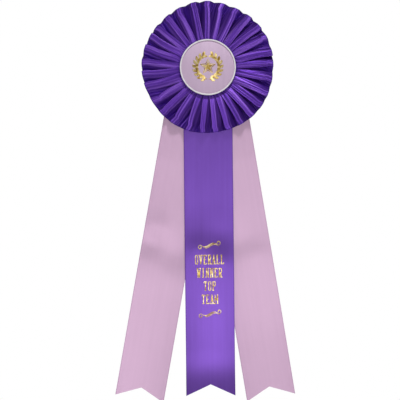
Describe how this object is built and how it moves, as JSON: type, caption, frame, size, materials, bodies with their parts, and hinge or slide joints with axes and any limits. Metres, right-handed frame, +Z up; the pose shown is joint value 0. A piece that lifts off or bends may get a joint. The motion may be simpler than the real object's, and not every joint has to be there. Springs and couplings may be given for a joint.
{
  "type": "award rosette",
  "caption": "Pleated satin award rosette with a round button centre, fishtail streamers that swing, and a bar pin on the back.",
  "frame": {"origin": "middle of the pin stem on the back, where the rosette hangs on a garment", "axes": "+X across to the right seen from the front, +Y from the front towards the garment, +Z up"},
  "size_m": [0.1872, 0.0241, 0.4151],
  "materials": {
    "purple_satin": "woven satin, soft sheen",
    "lilac_satin": "woven satin, soft sheen",
    "thread": "spun sewing thread",
    "gold_foil": "hot-stamped metallic foil",
    "white_plastic": "moulded, semi-gloss",
    "card": "uncoated white card",
    "foam": "adhesive foam tape",
    "staple_wire": "galvanised wire",
    "pin_steel": "nickel-plated, polished"
  },
  "bodies": {
    "rosette": {"frill": "purple_satin", "frill_stitching": "thread", "frill_base_card": "card", "button_rim": "white_plastic", "button_face": "lilac_satin", "button_card": "card", "button_back": "white_plastic", "button_pad": "foam", "emblem_star": "gold_foil", "wreath_left": "gold_foil", "wreath_right": "gold_foil", "streamer_center_head": "purple_satin", "streamer_left_head": "lilac_satin", "streamer_right_head": "lilac_satin", "staple_left": "staple_wire", "staple_center": "staple_wire", "staple_right": "staple_wire", "card_spacer": "foam", "back_card": "card", "pin_pad": "foam", "pin_plate": "pin_steel", "pin_hinge_rivet": "pin_steel", "pin_catch_shell": "pin_steel"},
    "streamer_center": {"streamer_center_tail": "purple_satin", "foil_scroll_top": "gold_foil", "foil_line_1": "gold_foil", "foil_line_2": "gold_foil", "foil_line_3": "gold_foil", "foil_line_4": "gold_foil", "foil_scroll_bottom": "gold_foil"},
    "streamer_left": {"streamer_left_tail": "lilac_satin"},
    "streamer_right": {"streamer_right_tail": "lilac_satin"},
    "pin_arm": {"pin_stem": "pin_steel"},
    "pin_lock": {"pin_catch_sleeve": "pin_steel"}
  },
  "joints": [
    {"name": "streamer_center_lift", "type": "hinge", "parent": "rosette", "child": "streamer_center", "pos_m": [0.0004, -0.0116, -0.0977], "axis": [-0.9999, 0, -0.0105], "range_deg": [0, 90]},
    {"name": "streamer_left_lift", "type": "hinge", "parent": "rosette", "child": "streamer_left", "pos_m": [-0.02791, -0.01, -0.11653], "axis": [0.9851, 0, -0.1719], "range_deg": [0, 75]},
    {"name": "streamer_right_lift", "type": "hinge", "parent": "rosette", "child": "streamer_right", "pos_m": [0.02488, -0.0108, -0.1166], "axis": [0.9863, 0, 0.165], "range_deg": [0, 75]},
    {"name": "pin_open", "type": "hinge", "parent": "rosette", "child": "pin_arm", "pos_m": [0.013, 0, 0], "axis": [0, 0, -1], "range_deg": [0, 75]},
    {"name": "pin_lock_turn", "type": "hinge", "parent": "rosette", "child": "pin_lock", "pos_m": [-0.0135, 0, 0], "axis": [1, 0, 0], "range_deg": [0, 110]}
  ]
}
